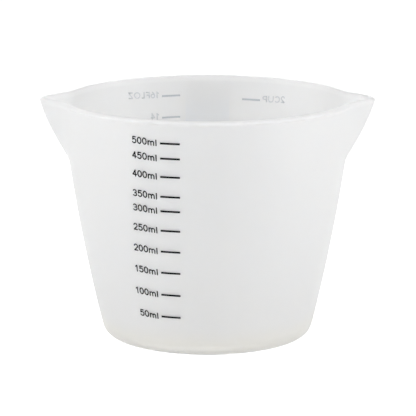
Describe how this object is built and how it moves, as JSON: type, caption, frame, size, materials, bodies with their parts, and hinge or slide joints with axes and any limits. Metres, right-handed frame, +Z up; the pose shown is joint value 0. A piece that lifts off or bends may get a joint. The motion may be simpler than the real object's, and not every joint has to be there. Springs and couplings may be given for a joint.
{
  "type": "measuring cup",
  "caption": "Translucent soft silicone measuring cup with a tapered round bowl, a rim lip, opposed pouring spouts, a strap handle and printed volume scales.",
  "frame": {"origin": "middle of the flat base, on the surface that the cup stands on", "axes": "+Z up out of the mouth, +Y towards the handle, +X towards one spout; the millilitre scale faces -Y"},
  "size_m": [0.1244, 0.1402, 0.0887],
  "materials": {
    "silicone": "milky translucent, satin",
    "ink": "black printed ink, matt"
  },
  "bodies": {
    "root": {"cup_body": "silicone", "ml_line_050": "ink", "ml_line_100": "ink", "ml_line_150": "ink", "ml_line_200": "ink", "ml_line_250": "ink", "ml_line_300": "ink", "ml_line_350": "ink", "ml_line_400": "ink", "ml_line_450": "ink", "ml_line_500": "ink", "fl_oz_line_02": "ink", "fl_oz_line_04": "ink", "fl_oz_line_06": "ink", "fl_oz_line_08": "ink", "fl_oz_line_10": "ink", "fl_oz_line_12": "ink", "fl_oz_line_14": "ink", "fl_oz_line_16": "ink", "cup_line_0.5": "ink", "cup_line_1.0": "ink", "cup_line_1.5": "ink", "cup_line_2.0": "ink"}
  },
  "joints": []
}
